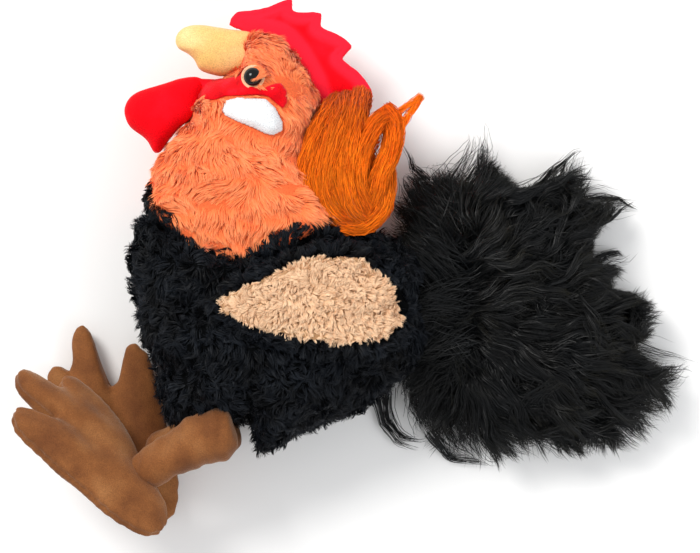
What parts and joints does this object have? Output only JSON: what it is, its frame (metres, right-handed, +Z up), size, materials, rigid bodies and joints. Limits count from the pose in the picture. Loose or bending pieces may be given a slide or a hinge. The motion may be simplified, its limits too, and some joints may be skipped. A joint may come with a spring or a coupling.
{
  "type": "plush rooster toy",
  "caption": "Stuffed plush rooster lying on its side, with a comb, wattle, yarn mane, felt-ringed eyes, flapping wings, swinging legs and a long fur tail.",
  "frame": {"origin": "on the surface that the toy lies on, under the middle of its whole outline", "axes": "+X from the chest to the tail, +Y towards the comb, +Z up from the surface, which is the toy's own left side"},
  "size_m": [0.3837, 0.2997, 0.0999],
  "materials": {
    "black_plush": "short tousled pile, charcoal with a blue-grey sheen",
    "orange_plush": "swirled plush pile, matt",
    "red_velour": "short velour with a pinkish sheen",
    "yellow_velour": "short velour, matt",
    "white_plush": "smooth short pile, matt",
    "tan_plush": "clumped sherpa pile, matt",
    "brown_velour": "short velour with rubbed seams",
    "tail_fur": "long combed faux fur with olive-brown tips",
    "mane_yarn": "loose roving yarn, matt",
    "wing_backing": "plain knit backing",
    "eye": "polished black",
    "eye_rim": "felt ring, matt",
    "washer": "matt",
    "squeaker": "translucent soft plastic, matt",
    "stuffing": "loose polyester fibre"
  },
  "bodies": {
    "torso": {"body_panel_left": "black_plush", "body_panel_right": "black_plush", "body_stuffing_left": "stuffing", "body_stuffing_right": "stuffing", "squeaker_bladder": "squeaker", "squeaker_reed": "squeaker"},
    "head": {"head_panel_left": "orange_plush", "head_panel_right": "orange_plush", "head_stuffing_left": "stuffing", "head_stuffing_right": "stuffing", "beak_panel_left": "yellow_velour", "beak_panel_right": "yellow_velour", "beak_stuffing": "stuffing", "comb_panel_left": "red_velour", "comb_panel_right": "red_velour", "comb_padding": "stuffing", "wattle_panel_left": "red_velour", "wattle_panel_right": "red_velour", "wattle_stuffing": "stuffing", "face_band_left": "red_velour", "face_band_right": "red_velour", "ear_patch_left": "white_plush", "ear_patch_right": "white_plush", "eye_left": "eye", "eye_right": "eye", "eye_rim_left": "eye_rim", "eye_rim_right": "eye_rim", "eye_washer_left": "washer", "eye_washer_right": "washer"},
    "mane": {"mane_hank": "mane_yarn", "mane_loop": "mane_yarn"},
    "wing_left": {"wing_left_backing": "wing_backing", "wing_left_fur": "black_plush", "wing_left_patch": "tan_plush"},
    "wing_right": {"wing_right_backing": "wing_backing", "wing_right_fur": "black_plush", "wing_right_patch": "tan_plush"},
    "leg_left": {"leg_left_sleeve": "brown_velour", "leg_left_stuffing": "stuffing"},
    "leg_right": {"leg_right_sleeve": "brown_velour", "leg_right_stuffing": "stuffing"},
    "foot_left": {"foot_left_top": "brown_velour", "foot_left_sole": "brown_velour", "foot_left_stuffing": "stuffing"},
    "foot_right": {"foot_right_top": "brown_velour", "foot_right_sole": "brown_velour", "foot_right_stuffing": "stuffing"},
    "tail": {"tail_fur_left": "tail_fur", "tail_fur_right": "tail_fur", "tail_backing": "tail_fur"}
  },
  "joints": [
    {"name": "neck_bend", "type": "hinge", "parent": "torso", "child": "head", "pos_m": [-0.0621, 0.0729, 0.046], "axis": [0, 0, 1], "range_deg": [-4, 25]},
    {"name": "mane_swing", "type": "hinge", "parent": "head", "child": "mane", "pos_m": [-0.0051, 0.0909, 0.066], "axis": [0, 0, 1], "range_deg": [0, 25]},
    {"name": "wing_left_flap", "type": "hinge", "parent": "torso", "child": "wing_left", "pos_m": [-0.0241, 0.0149, 0.082], "axis": [-1, 0, 0], "range_deg": [0, 80]},
    {"name": "wing_right_flap", "type": "hinge", "parent": "torso", "child": "wing_right", "pos_m": [-0.0241, 0.0149, 0.0145], "axis": [1, 0, 0], "range_deg": [0, 60]},
    {"name": "leg_left_swing", "type": "hinge", "parent": "torso", "child": "leg_left", "pos_m": [-0.0781, -0.0936, 0.069], "axis": [0, 0, 1], "range_deg": [-12, 30]},
    {"name": "leg_right_swing", "type": "hinge", "parent": "torso", "child": "leg_right", "pos_m": [-0.0781, -0.0936, 0.028], "axis": [0, 0, 1], "range_deg": [-4, 30]},
    {"name": "ankle_left", "type": "hinge", "parent": "leg_left", "child": "foot_left", "pos_m": [-0.1066, -0.1029, 0.069], "axis": [0, 0, 1], "range_deg": [-15, 20]},
    {"name": "ankle_right", "type": "hinge", "parent": "leg_right", "child": "foot_right", "pos_m": [-0.1064, -0.1028, 0.0322], "axis": [0, 0, 1], "range_deg": [-4, 20]},
    {"name": "tail_sway", "type": "hinge", "parent": "torso", "child": "tail", "pos_m": [0.0589, -0.0201, 0.023], "axis": [0, 0, 1], "range_deg": [-10, 10]}
  ]
}
